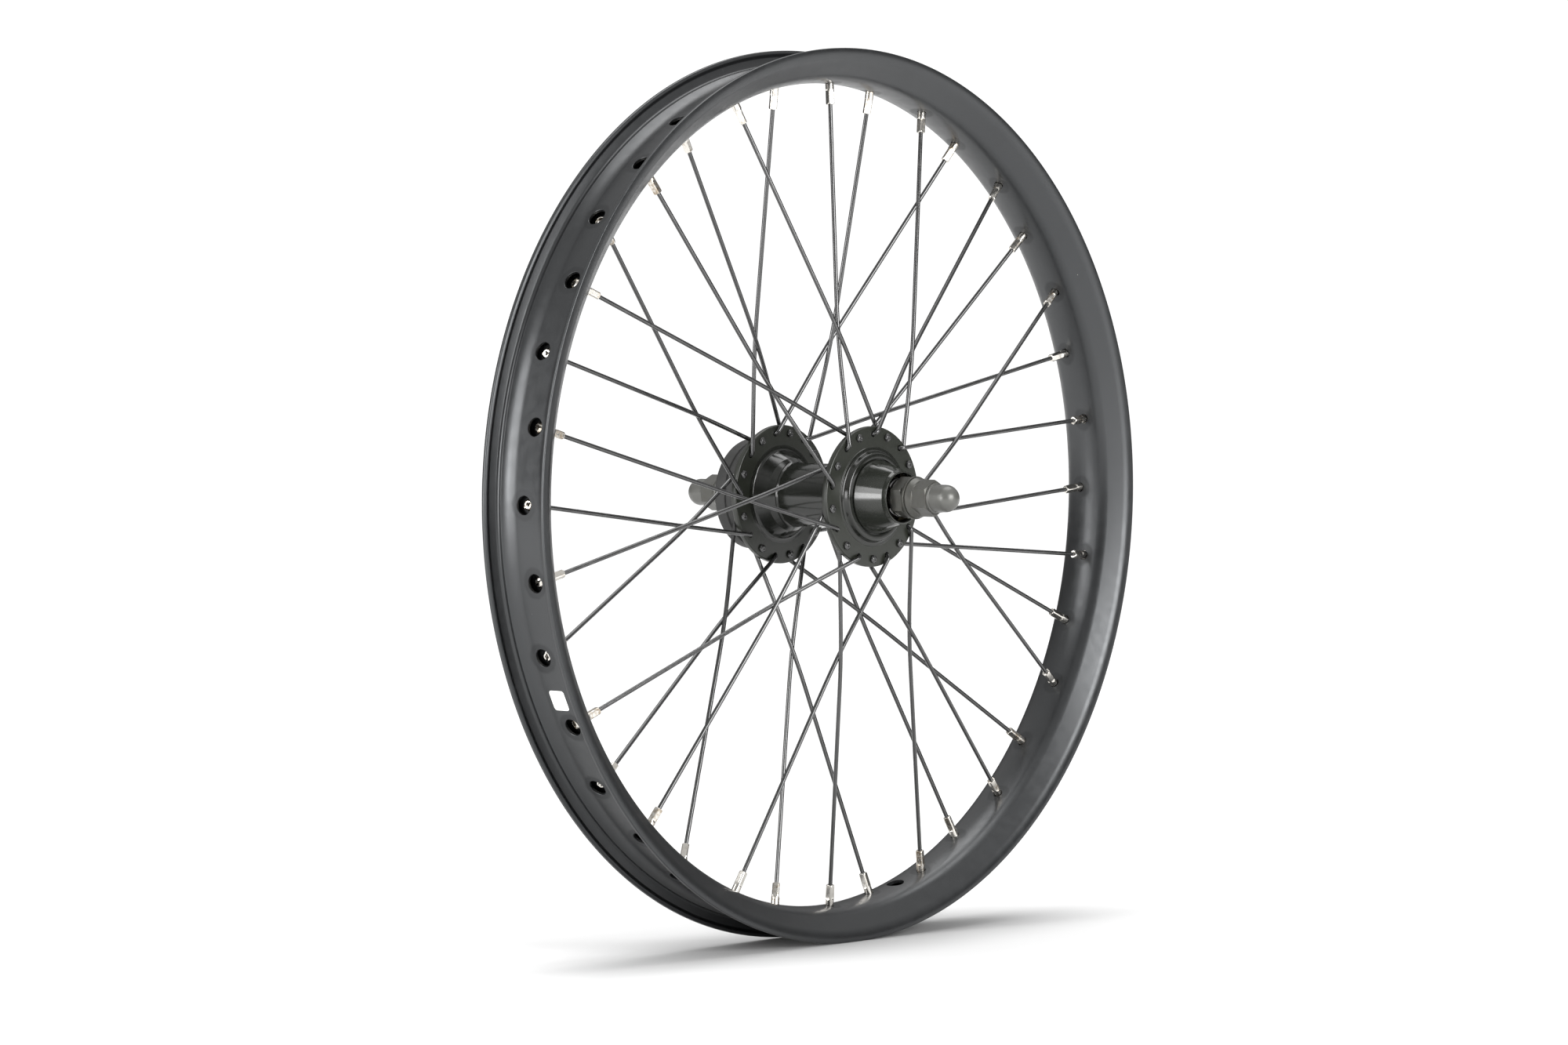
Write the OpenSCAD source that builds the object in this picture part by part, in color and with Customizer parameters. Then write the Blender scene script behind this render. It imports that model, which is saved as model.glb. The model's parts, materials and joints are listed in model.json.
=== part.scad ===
// 20 inch rear wheel with 36 crossed spokes, a double-wall rim and a cup-and-cone hub.
// Origin: centre of the rim on the axle line. +Y runs along the axle to the drive side, +Z is up.
// Angles around the wheel are measured from +X towards +Z.

/* [Rim] */
// Diameter over the tops of the rim's lips
rim_d = 420; // [412:0.5:430]
// Width of the rim over its side walls
rim_w = 38.3; // [36:0.1:42]
// Depth of the rim from the top of the lips to the wall that faces the hub
rim_depth = 16; // [15:0.5:18]
// Thickness of the wall that faces the hub
rim_wall = 1.5; // [1.2:0.1:1.8]
// Diameter of the spoke access holes in the tyre bed
access_d = 8.5; // [7.5:0.1:9]
// Diameter of the valve hole
valve_d = 8.5; // [6.5:0.1:8.7]

/* [Spokes] */
// Diameter of a spoke
spoke_d = 2; // [1.8:0.1:2]
// How far a spoke hole in the rim sits to the side of the rim's centre plane
rim_stagger = 2; // [1:0.1:2.5]
// Diameter of a nipple's round barrel
nipple_d = 4; // [3.8:0.1:4.2]
// Length of a nipple from under its head to its hub end
nipple_len = 11.8; // [10:0.1:13]

/* [Hub] */
// Diameter of the hub flanges
flange_d = 66; // [65:0.5:72]
// Thickness of a flange
flange_t = 3; // [2.6:0.1:3.2]
// Diameter of the circle of spoke holes in a flange
hole_circle_d = 58.6; // [57:0.1:59]
// Distance from the centre plane to the middle of the left flange
flange_left = 27.8; // [26:0.1:29]
// Distance from the centre plane to the middle of the right flange
flange_right = 29.2; // [27:0.1:29.5]
// Diameter of the hub barrel
barrel_d = 30; // [28:0.5:32]
// Outside diameter of the freewheel thread
thread_d = 34.8; // [34:0.1:35]
// Outside diameter of the thread protector
protector_d = 52.6; // [48:0.1:56]

/* [Axle] */
// Diameter of the axle
axle_d = 9.525; // [9.5:0.005:9.53]
// Distance between the outer faces of the locknuts
over_locknuts = 110; // [110:0.5:112]
// Distance from the centre plane to the left end of the axle
axle_left = 72; // [71:0.5:73]
// Distance from the centre plane to the right end of the axle
axle_right = 78; // [77:0.5:79]
// Distance from the centre plane to the seat of the right axle nut
nut_right = 62.5; // [61.5:0.1:63]

/* [Hidden] */
$fn = 96;
fine = 0.01;            // how far a cutter runs past a face
fit_gap = 0.02;         // radial gap between pieces that are pressed together
run_gap = 0.05;         // radial gap of a running or threaded fit

// rim section
rim_r = rim_d / 2;
lip_h = 7;              // bead seat to the top of the lip
lip_t = 1.6;
seat_r = rim_r - lip_h;
bed_r = seat_r - 2.5;   // floor of the well
bed_t = 1.3;
well_half = 9.5;        // half width of the flat floor of the well
seat_half = 14;         // inner edge of the bead seat
lip_lean = 1.2;         // how far the inside of a lip leans in towards its root
nose_r = rim_r - rim_depth;   // radius of the wall that faces the hub
crown_r = 30;           // section radius of the middle of that wall
shoulder_r = 10;        // section radius of its shoulders
crown_a = 14.5;         // where the crown becomes the shoulder
shoulder_a = 50;        // where the shoulder becomes the flank
side_r = 8;             // section radius from the flank to the side wall
crown_y = crown_r * sin(crown_a);
crown_top = nose_r + crown_r * (1 - cos(crown_a));
shoulder_cy = crown_y - shoulder_r * sin(crown_a);
shoulder_cr = crown_top + shoulder_r * cos(crown_a);
seam_a = 105;
valve_a = 285;
label_a = 206;
sleeve_half = 2.8;      // half angle covered by the sleeve across the seam

// lacing
spoke_count = 36;
pitch_a = 360 / spoke_count;
cross_a = 4 * pitch_a;  // angle between a spoke's hub hole and its rim hole
spoke_r = spoke_d / 2;
seat_nip = nose_r + rim_wall + 0.1;   // radius at which a nipple's head sits
hole_ring = hole_circle_d / 2;
elbow_r = 2.2;          // centre-line radius of a spoke's elbow
knuckle_r = spoke_r + 0.04;   // ball that joins two stretches of a spoke
knuckle_gap = 0.1;      // how far from a knuckle's centre each stretch ends
knuckle_tilt = 45;      // turns a knuckle's poles away from the wheel's axes
rise_out = 2.2;         // elbow height over the flange, elbow outside
rise_in = 1.2;          // elbow height over the flange, elbow inside
weave = 1.1;            // half distance between two spokes where they pass
hub_hole_d = spoke_d + 0.7;
// fraction of the way from hub to rim at which two partners pass
pass_q = hole_ring * (sin(cross_a) - tan(pitch_a) * cos(cross_a)) / (seat_nip * tan(pitch_a));
pass_t = pass_q / (1 + pass_q);

// hub and bearings
ball_d = 6.35;
ball_count = 7;
ball_ring = 9.6;        // radius of the circle of balls
ball_y = 33;
race_r = ball_d / 2 + run_gap;
cup_r = 13.8;
cup_h = 6.5;            // length of a bearing cup along the axle
bore_hub = 12.3;
neck_end = 46;
cap_mouth_y = 48;
cone_end = 46.4;
washer_t = 1.3;
locknut_y = cone_end + washer_t;
axle_r = axle_d / 2;
bolt_r = axle_r + run_gap;
nut_washer_t = 1.4;
nut_left = over_locknuts / 2 + nut_washer_t;

// ---------- small helpers ----------
function spoke_name(k) = str("spoke_", k < 9 ? "0" : "", k + 1);
function unit(v) = v / norm(v);
function turn(u, v) = acos(u * v / (norm(u) * norm(v)));
// points of an arc in the (radius, along-axle) half plane
function arc(cr, cy, r, a0, a1, steps, first = 0) =
    [for (i = [first:steps]) let (a = a0 + (a1 - a0) * i / steps) [cr - r * cos(a), cy + r * sin(a)]];
// the same outline on the other side of the centre plane, in reverse order
function mirrored(points) = [for (i = [len(points) - 1:-1:0]) [points[i][0], -points[i][1]]];

// turns an outline of (radius, along-axle) points about the axle
module about_axle() {
    rotate([-90, 0, 0])
        rotate_extrude()
            children();
}

// puts a child that points along +Z at a point, pointing along a direction
module aim(point, direction) {
    translate(point)
        rotate([0, acos(direction[2] / norm(direction)), atan2(direction[1], direction[0])])
            children();
}

// the same piece on the left or right end of the hub
module on_side(side) {
    mirror([0, side < 0 ? 1 : 0, 0])
        children();
}

// places a child at an angle around the wheel, with its +X pointing outwards
module around(angle) {
    rotate([0, -angle, 0])
        children();
}

// ---------- lacing ----------
// spokes with an even number reach the right flange, the others the left
function side_of(k) = k % 2 == 0 ? 1 : -1;
function elbow_out(k) = k % 4 < 2;
function lead_of(k) = (k % 4 == 1 || k % 4 == 2) ? 1 : -1;
function flange_y(k) = side_of(k) > 0 ? flange_right : -flange_left;
function polar(r, a, y) = [r * cos(a), y, r * sin(a)];
function hub_angle(k) = pitch_a * k + lead_of(k) * cross_a;
function exit_dir(k) = [0, side_of(k) * (elbow_out(k) ? 1 : -1), 0];
function face_y(k, rise) = flange_y(k) + exit_dir(k)[1] * (flange_t / 2 + rise);
function elbow_at(k) = polar(hole_ring, hub_angle(k), face_y(k, elbow_out(k) ? rise_out : rise_in));
function seat_at(k) = polar(seat_nip, pitch_a * k, side_of(k) * rim_stagger);
function pass_y(k) =
    flange_y(k) + (side_of(k) * rim_stagger - flange_y(k)) * pass_t - exit_dir(k)[1] * weave;
function pass_at(k) =
    let (p = elbow_at(k) + (seat_at(k) - elbow_at(k)) * pass_t) [p[0], pass_y(k), p[2]];
function outer_dir(k) = unit(seat_at(k) - pass_at(k));

// a bend in a round wire: the wire comes along u to the corner and leaves along v
module wire_bend(corner, u, v) {
    angle = turn(u, v);
    start = corner - u * elbow_r * tan(angle / 2);
    n = unit(v - u * (u * v));
    w = cross(-n, u);
    c = start + n * elbow_r;
    multmatrix([[-n[0], u[0], w[0], c[0]],
                [-n[1], u[1], w[1], c[1]],
                [-n[2], u[2], w[2], c[2]],
                [0, 0, 0, 1]])
        rotate_extrude(angle = angle)
            translate([elbow_r, 0])
                circle(r = spoke_r, $fn = 32);
}

// straight wire that stops just short of the knuckles at its ends
module wire_straight(from, to) {
    v = unit(to - from);
    aim(from + v * knuckle_gap, v)
        cylinder(h = norm(to - from) - 2 * knuckle_gap, r = spoke_r, $fn = 32);
}

module knuckle(at) {
    translate(at)
        rotate([0, knuckle_tilt, 0])
            sphere(r = knuckle_r, $fn = 32);
}

// one spoke: head, shank through the flange, elbow, and the wire to the nipple
module spoke(k) {
    head_h = 1.5;
    head_r = 1.9;
    u = exit_dir(k);
    corner = elbow_at(k);
    pass = pass_at(k);
    v = unit(pass - corner);
    elbow_cut = elbow_r * tan(turn(u, v) / 2);
    elbow_start = corner - u * elbow_cut;
    elbow_end = corner + v * elbow_cut;
    head_face = [corner[0], flange_y(k) - u[1] * flange_t / 2, corner[2]];
    shank = norm(elbow_start - head_face) - knuckle_gap;
    color("#26272a") {
        aim(head_face, u)
            rotate_extrude($fn = 32)
                polygon([[0, -head_h], [0.9, -head_h], [1.5, -1.2], [head_r, -0.5], [head_r, 0],
                         [spoke_r, 0], [spoke_r, shank], [0, shank]]);
        knuckle(elbow_start);
        wire_bend(corner, u, v);
        knuckle(elbow_end);
        wire_straight(elbow_end, pass);
        knuckle(pass);
        wire_straight(pass, seat_at(k) + outer_dir(k));
    }
}

// one nipple: slotted head in the rim, round barrel, and square flats for the spoke key
module nipple(k) {
    head_h = 2.9;
    head_r = 2.9;
    collar_len = 4.6;
    flats = 3.3;
    r = nipple_d / 2;
    aim(seat_at(k), -outer_dir(k))
        difference() {
            intersection() {
                rotate_extrude($fn = 48)
                    polygon([[0, -head_h], [1.7, -head_h], [2.5, -2.2], [head_r, -1.3], [head_r, 0],
                             [r, 0], [r, nipple_len - 0.6], [r - 0.5, nipple_len], [0, nipple_len]]);
                union() {
                    translate([0, 0, (collar_len - head_h) / 2])
                        cube([2 * head_r + 1, 2 * head_r + 1, head_h + collar_len + 1], center = true);
                    translate([-flats / 2, -flats / 2, 0])
                        cube([flats, flats, nipple_len + 1]);
                }
            }
            translate([0, 0, -head_h - 1])
                cylinder(h = head_h + nipple_len + 2, r = spoke_r + run_gap, $fn = 32);
            translate([-0.5, -head_r - 1, -head_h - 1])
                cube([1, 2 * head_r + 2, 2]);
        }
}

module nipples() {
    color("#c9c4ba")
        for (k = [0:spoke_count - 1])
            nipple(k);
}

// ---------- rim ----------
// half of the wall that faces the hub, from its narrow flat middle to the flank,
// moved out by a thickness
function crown_half(t) = concat(
    arc(nose_r + crown_r, 0, crown_r - t, 0, crown_a, 4, 1),
    arc(shoulder_cr, shoulder_cy, shoulder_r - t, crown_a, shoulder_a, 7, 1));

// half of the outside of the rim, from the middle of the hub side to the top of the lip
function rim_outer_half() =
    let (side_y = rim_w / 2,
         flank = [shoulder_cr - shoulder_r * cos(shoulder_a), shoulder_cy + shoulder_r * sin(shoulder_a)],
         bend_y = side_y - side_r * (1 - sin(shoulder_a)),
         bend_top = flank[0] + (bend_y - flank[1]) * tan(shoulder_a),
         side_cr = bend_top + side_r * cos(shoulder_a))
    concat(crown_half(0),
           arc(side_cr, side_y - side_r, side_r, shoulder_a, 90, 5),
           [[rim_r - 0.4, side_y], [rim_r - 0.1, side_y - 0.15], [rim_r, side_y - 0.5]]);

// half of the tyre bed, from the top of the lip to the middle of the well
function rim_bed_half() =
    let (side_y = rim_w / 2)
    [[rim_r, side_y - lip_t + 0.3], [rim_r - 0.4, side_y - lip_t - 0.1], [rim_r - 1.2, side_y - lip_t - 0.2],
     [seat_r + 1.6, side_y - lip_t - lip_lean], [seat_r + 0.8, side_y - lip_t - lip_lean - 0.4],
     [seat_r + 0.3, side_y - lip_t - lip_lean - 1], [seat_r, seat_half], [seat_r - 0.5, seat_half - 0.7],
     [bed_r + 0.5, well_half + 1.2], [bed_r + 0.1, well_half + 0.4], [bed_r, well_half]];

module rim_section() {
    half = concat(rim_outer_half(), rim_bed_half());
    polygon(concat(half, mirrored(half)));
}

// the hollow between the two walls, made smaller all round by a gap
module rim_hollow(gap) {
    half = concat(crown_half(rim_wall + gap),
                  [[bed_r - 0.3 - gap, 12.1 - gap], [bed_r - 0.3 - gap, 11.6 - gap],
                   [bed_r - bed_t - gap, well_half - 0.3]]);
    polygon(concat(half, mirrored(half)));
}

module rim() {
    access_from = bed_r - bed_t - 0.4;
    color("#2b2c2d")
        difference() {
            about_axle()
                difference() {
                    rim_section();
                    rim_hollow(0);
                }
            for (k = [0:spoke_count - 1]) {
                aim(seat_at(k), outer_dir(k))
                    rotate_extrude($fn = 48)
                        polygon([[0, -4], [nipple_d / 2 + 0.2, -4], [nipple_d / 2 + 0.2, 0],
                                 [3.2, 0], [3.2, 1.4], [0, 1.4]]);
                around(pitch_a * k)
                    translate([access_from, side_of(k) * rim_stagger, 0])
                        rotate([0, 90, 0])
                            cylinder(h = rim_depth, d = access_d, $fn = 48);
            }
            around(valve_a)
                translate([nose_r - 2, 0, 0])
                    rotate([0, 90, 0])
                        cylinder(h = rim_depth + 4, d = valve_d, $fn = 48);
        }
}

// aluminium sleeve inside the hollow, across the seam
module rim_joint_sleeve() {
    color("#b8babd")
        around(seam_a - sleeve_half)
            rotate([-90, 0, 0])
                mirror([0, 1, 0])
                    rotate_extrude(angle = 2 * sleeve_half)
                        rim_hollow(0.1);
}

// blank inspection label in the well
module rim_label() {
    label_l = 10;
    label_w = 9;
    label_t = 0.15;
    corner = 1.5;
    color("#f2f2ef")
        intersection() {
            about_axle()
                translate([bed_r, -label_w])
                    square([label_t, 2 * label_w]);
            around(label_a)
                translate([bed_r - 3, 0, 0])
                    rotate([0, 90, 0])
                        linear_extrude(5) {
                            square([label_l - 2 * corner, label_w], center = true);
                            square([label_l, label_w - 2 * corner], center = true);
                            for (x = [-1, 1], y = [-1, 1])
                                translate([x * (label_l / 2 - corner), y * (label_w / 2 - corner)])
                                    circle(r = corner, $fn = 32);
                        }
        }
}

// ---------- hub ----------
module hub_shell() {
    flange_r = flange_d / 2;
    barrel_r = barrel_d / 2;
    left_out = -flange_left - flange_t / 2;
    left_in = -flange_left + flange_t / 2;
    right_in = flange_right - flange_t / 2;
    right_out = flange_right + flange_t / 2;
    boss_end = left_out - 3.1;
    cap_seat_r = 17.9;
    thread_r = thread_d / 2;
    color("#1c1d1e")
        difference() {
            about_axle()
                polygon(concat(
                    [[cup_r, boss_end + 1], [cap_seat_r, boss_end + 1], [cap_seat_r, boss_end]],
                    [[18.6, boss_end]],
                    [for (a = [15:15:90]) [18.6 + 2.4 * sin(a), boss_end + 1.6 * (1 - cos(a))]],
                    [[21.4, left_out - 0.7], [22.3, left_out - 0.2], [23.6, left_out]],
                    [[flange_r - 0.6, left_out], [flange_r, left_out + 0.6],
                     [flange_r, left_in - 0.6], [flange_r - 0.6, left_in]],
                    [[21.6, left_in], [20.4, left_in + 0.4], [19.4, left_in + 1.4]],
                    [[17.4, left_in + 6.5], [16.6, left_in + 8], [barrel_r, left_in + 9]],
                    [[barrel_r, right_in - 9], [16.6, right_in - 8], [17.4, right_in - 6.5]],
                    [[19.4, right_in - 1.4], [20.4, right_in - 0.4], [21.6, right_in]],
                    [[flange_r - 0.6, right_in], [flange_r, right_in + 0.6],
                     [flange_r, right_out - 0.6], [flange_r - 0.6, right_out]],
                    [[21.6, right_out], [20.2, right_out + 0.5], [19.4, right_out + 1.8]],
                    [[19.4, right_out + 3.2], [16.4, right_out + 3.4], [16.4, right_out + 4.4]],
                    [[thread_r, right_out + 4.8], [thread_r, neck_end - 0.5],
                     [thread_r - 0.5, neck_end], [cup_r, neck_end]],
                    [[cup_r, ball_y - 4.2], [bore_hub, ball_y - 4.2]],
                    [[bore_hub, 4.2 - ball_y], [cup_r, 4.2 - ball_y]]));
            for (k = [0:spoke_count - 1])
                translate(polar(hole_ring, hub_angle(k), flange_y(k)))
                    rotate([90, 0, 0])
                        cylinder(h = flange_t + 1, d = hub_hole_d, center = true, $fn = 48);
        }
}

// hardened cup pressed into the hub; its race faces outwards
module bearing_cup(side) {
    color("#8d8f92")
        on_side(side)
            about_axle()
                difference() {
                    translate([ball_ring, ball_y - 4.2])
                        square([cup_r - fit_gap - ball_ring, cup_h]);
                    translate([ball_ring, ball_y])
                        circle(r = race_r);
                    translate([ball_ring - fine, ball_y])
                        square([race_r + fine, 4]);
                }
}

// adjusting cone on the axle; its race faces inwards
module cone(side) {
    color("#9c9ea0")
        on_side(side)
            difference() {
                about_axle()
                    difference() {
                        polygon([[bolt_r, ball_y - 2.5], [5.6, ball_y - 2.5], [6.2, ball_y - 1.6],
                                 [9.3, ball_y + 2], [9.3, cone_end - 0.3], [9, cone_end],
                                 [bolt_r, cone_end]]);
                        translate([ball_ring, ball_y])
                            circle(r = race_r);
                    }
                for (x = [-1, 1])
                    translate([x * 12.5, cone_end - 3, 0])
                        cube([10, 6, 20], center = true);
            }
}

module balls(side) {
    color("#c4c6c9")
        for (i = [0:ball_count - 1])
            translate(polar(ball_ring, i * 360 / ball_count, side * ball_y))
                sphere(d = ball_d, $fn = 48);
}

module ball_cage(side) {
    color("#8a7a4e")
        on_side(side)
            difference() {
                about_axle()
                    polygon([[10.5, ball_y - 0.5], [11.3, ball_y - 0.5], [11.3, ball_y + 2.6],
                             [12.3, ball_y + 2.6], [12.3, ball_y + 3.4], [9.8, ball_y + 3.4],
                             [9.8, ball_y + 2.6], [10.5, ball_y + 2.6]]);
                for (i = [0:ball_count - 1])
                    translate(polar(ball_ring, i * 360 / ball_count, ball_y))
                        sphere(r = ball_d / 2 + 0.08, $fn = 48);
            }
}

// tapered nose of the left end, pressed over the cup
module dust_cap_left() {
    base = flange_left + flange_t / 2 + 2.1;
    color("#1a1b1c")
        about_axle()
            polygon([[cup_r + fit_gap, -base], [17.2, -base], [17.3, -base - 1.6], [16.6, -base - 2.2],
                     [16, -base - 3.4], [15.7, -base - 4.8], [13.5, -cap_mouth_y + 3.4],
                     [12.9, -cap_mouth_y + 2.4], [12.2, -cap_mouth_y + 0.5], [11.9, -cap_mouth_y],
                     [11.5, -cap_mouth_y], [11.3, -cap_mouth_y + 0.3], [11.9, -cap_mouth_y + 2.6],
                     [12.5, -cap_mouth_y + 3.6], [13.2, -base - 5.2],
                     [13.2, -base - 4.2], [cup_r + fit_gap, -base - 4]]);
}

// flat dust cap in the mouth of the threaded end
module dust_cap_right() {
    color("#1a1b1c")
        about_axle()
            polygon([[9.8, neck_end - 1.6], [12.6, neck_end - 1.6], [12.6, neck_end - 4],
                     [cup_r - fit_gap, neck_end - 4], [cup_r - fit_gap, neck_end - 0.4],
                     [9.8, neck_end - 0.4]]);
}

// plastic cup pushed over the freewheel thread, with a hole for the axle
module thread_protector() {
    r = protector_d / 2;
    start = 36.5;
    end = 47.7;
    color("#2a2b2b")
        about_axle()
            polygon([[thread_d / 2 + run_gap, start + 0.4], [thread_d / 2 + 0.4, start],
                     [r - 1.2, start], [r - 0.7, start + 0.5], [r - 0.7, start + 4],
                     [r, start + 4.6], [r, end - 0.8], [r - 0.8, end], [13.2, end], [13.2, neck_end + 0.1],
                     [thread_d / 2 + run_gap, neck_end + 0.1]]);
}

// ---------- axle ----------
module axle() {
    bevel = 0.8;
    color("#7d7f80")
        about_axle()
            polygon([[0, -axle_left], [axle_r - bevel, -axle_left], [axle_r, -axle_left + bevel],
                     [axle_r, axle_right - bevel], [axle_r - bevel, axle_right], [0, axle_right]]);
}

// keyed washers between the cones and the locknuts
module lock_washers() {
    color("#6f7172")
        for (side = [-1, 1])
            on_side(side)
                about_axle()
                    translate([bolt_r, cone_end])
                        square([8.9 - bolt_r, washer_t]);
}

// six-sided body along +Z with its outer corners turned down
module hex_body(height, across, bevel) {
    corner = across / sqrt(3);
    intersection() {
        cylinder(h = height, r = corner, $fn = 6);
        rotate_extrude()
            polygon([[0, 0], [corner - bevel, 0], [corner + 0.1, bevel * 0.6],
                     [corner + 0.1, height - bevel * 0.6], [corner - bevel, height], [0, height]]);
    }
}

module locknut(side) {
    height = over_locknuts / 2 - locknut_y;
    across = 17;
    twist = 22;
    color("#6a6b69")
        translate([0, side * locknut_y, 0])
            rotate([-90 * side, 0, 0])
                difference() {
                    union() {
                        rotate([0, 0, twist])
                            hex_body(height - 0.9, across, 1);
                        cylinder(h = height, r = 7.9);
                    }
                    translate([0, 0, -1])
                        cylinder(h = height + 2, r = bolt_r);
                }
}

module nut_washer(y_from) {
    color("#5c5d5b")
        about_axle()
            translate([axle_r + 0.25, y_from])
                square([10 - axle_r - 0.25, nut_washer_t]);
}

// domed axle nut with a flange; its seat is at z = 0 and its tip points along +Z
module axle_nut(seat_y, side) {
    flange_h = 3.2;
    hex_h = 8.1;
    across = 15;
    dome_r = 6.4;
    tip = 24;
    color("#82827d")
        translate([0, seat_y, 0])
            rotate([-90 * side, 0, 0])
                difference() {
                    union() {
                        rotate_extrude()
                            polygon([[0, 0], [9.4, 0], [9.6, 0.3], [9.6, 0.9], [8.3, flange_h],
                                     [7, flange_h + 0.5], [0, flange_h + 0.5]]);
                        translate([0, 0, flange_h])
                            hex_body(hex_h, across, 1);
                        rotate_extrude()
                            polygon(concat([[0, flange_h]], [[dome_r + 0.6, flange_h]],
                                           [[dome_r + 0.6, flange_h + hex_h + 0.6],
                                            [dome_r + 0.2, flange_h + hex_h + 0.9]],
                                           [for (a = [0:10:90])
                                                [dome_r * cos(a), tip - dome_r + dome_r * sin(a)]]));
                    }
                    translate([0, 0, -1])
                        cylinder(h = 18.5, r = bolt_r);
                }
}

axle();
cone(-1);  // cone_left
cone(1);  // cone_right
lock_washers();
locknut(-1);  // locknut_left
locknut(1);  // locknut_right
nut_washer(-nut_left);  // nut_washer_left
nut_washer(nut_right - nut_washer_t);  // nut_washer_right
axle_nut(-nut_left, -1);  // axle_nut_left
axle_nut(nut_right, 1);  // axle_nut_right
hub_shell();
bearing_cup(-1);  // bearing_cup_left
bearing_cup(1);  // bearing_cup_right
dust_cap_left();
dust_cap_right();
balls(-1);  // balls_left
balls(1);  // balls_right
ball_cage(-1);  // ball_cage_left
ball_cage(1);  // ball_cage_right
thread_protector();
rim();
rim_joint_sleeve();
rim_label();
nipples();
// the lacing repeats every four spokes
for (k = [0:spoke_count - 1])
    around(pitch_a * (k - k % 4)) spoke(k % 4);
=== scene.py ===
import json
import math
import random
from math import radians

import bpy
import numpy as np
from mathutils import Matrix, Vector


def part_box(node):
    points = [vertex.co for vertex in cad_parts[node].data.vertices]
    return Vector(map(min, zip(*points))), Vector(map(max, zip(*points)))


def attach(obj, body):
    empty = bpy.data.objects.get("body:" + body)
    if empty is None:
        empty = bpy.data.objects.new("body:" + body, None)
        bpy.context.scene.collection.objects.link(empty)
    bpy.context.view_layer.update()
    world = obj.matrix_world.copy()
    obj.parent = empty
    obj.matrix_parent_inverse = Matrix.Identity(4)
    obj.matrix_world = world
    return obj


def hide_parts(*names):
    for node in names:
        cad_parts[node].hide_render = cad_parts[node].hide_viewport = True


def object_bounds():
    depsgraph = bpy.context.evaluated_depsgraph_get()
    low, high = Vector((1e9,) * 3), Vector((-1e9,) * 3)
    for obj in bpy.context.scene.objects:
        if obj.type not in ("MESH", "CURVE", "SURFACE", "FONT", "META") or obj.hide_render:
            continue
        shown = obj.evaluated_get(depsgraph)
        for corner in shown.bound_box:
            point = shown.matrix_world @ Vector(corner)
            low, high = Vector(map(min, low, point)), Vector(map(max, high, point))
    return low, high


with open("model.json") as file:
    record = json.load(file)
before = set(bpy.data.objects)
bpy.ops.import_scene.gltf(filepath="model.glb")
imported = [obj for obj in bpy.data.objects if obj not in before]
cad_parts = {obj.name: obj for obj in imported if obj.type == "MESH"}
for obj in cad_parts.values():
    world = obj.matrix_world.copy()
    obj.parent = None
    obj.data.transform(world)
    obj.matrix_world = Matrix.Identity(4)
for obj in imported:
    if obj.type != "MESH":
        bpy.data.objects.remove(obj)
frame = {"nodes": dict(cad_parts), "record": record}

cad_low, cad_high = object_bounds()
MM = 0.001
FLOOR_Z = cad_low.z     # in metres
FAR = 1000.0            # further out than any piece

# ---------- sizes taken from the frame ----------
RIM_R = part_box("rim")[1].z / MM
RIM_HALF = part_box("rim")[1].y / MM
AXLE_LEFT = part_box("axle")[0].y / MM
AXLE_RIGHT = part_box("axle")[1].y / MM
AXLE_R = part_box("axle")[1].x / MM

# ---------- places round the rim, in degrees ----------
SLEEVE_A = 105.0        # the rim's seam, over the joint sleeve
VALVE_A = 285.0
SCRATCH_A = 292.5

# ---------- rim section ----------
NOSE_R = RIM_R - 16                     # where the rim comes nearest to the hub
CROWN_R, CROWN_A = 30.0, 14.5           # the wide arc there, and how far round it goes
SHOULDER_R, SHOULDER_A = 10.0, 50.0     # the tighter arc beside it
SIDE_R = 8.0
WALL = 1.5
SEAT_R = RIM_R - 7                      # the bead seat
SEAT_HALF = 14.0
BED_R = SEAT_R - 2.5                    # the bottom of the well
BED_T = 1.3
WELL_HALF = 6.5                         # half the width of the well's flat bottom
ACCESS_R = 4.25                         # the holes over the nipples
VALVE_R = 4.25

# ---------- lacing ----------
SPOKES = 36
PITCH_A = 360 / SPOKES
CROSS_A = 4 * PITCH_A                   # round the axle, from a spoke's nipple to its head
SPOKE_R = 1.0
STAGGER = 2.0                           # from the rim's middle to a nipple's seat
SEAT_NIPPLE = NOSE_R + WALL + 0.1
HOLE_RING = 29.3
FLANGE_LEFT, FLANGE_RIGHT = 27.8, 29.2  # from the rim's middle to a flange's middle
FLANGE_T = 3.0
FLANGE_R = 33.0
HUB_HOLE_R = 1.35
ELBOW_R = 2.2
RISE_OUT, RISE_IN = 2.2, 1.2            # from a flange's face to the corner of an elbow
WEAVE = 1.1                             # how far a spoke bows aside to pass its neighbour
BOW_R = 400.0                           # the faint bend it makes there
NIPPLE_R = 2.0
NIPPLE_LEN = 11.8

# ---------- hub, axle and nuts ----------
INCH = 25.4
AXLE_PITCH = INCH / 26
HUB_PITCH = INCH / 24                   # of the thread that takes a freewheel
CUP_R = 13.8
BORE_HUB = 12.3
BARREL_R = 15.0
NECK_R = 16.6
STEP_R = 23.2                           # where the left flange's face stands up from its boss
BALL_Y = 33.0
NECK_END = 46.0
LOCKNUT_Y = 47.7
LOCKNUT_END = 55.0
WASHER_T = 1.4
NUT_SEAT_LEFT = 56.4
NUT_SEAT_RIGHT = 62.5
BOLT_R = AXLE_R + 0.05                  # inside the nuts, whose threads are left plain
DOME_R = 6.4


def polar(r, a, y=0.0):
    return Vector((r * math.cos(radians(a)), y, r * math.sin(radians(a))))


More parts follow.
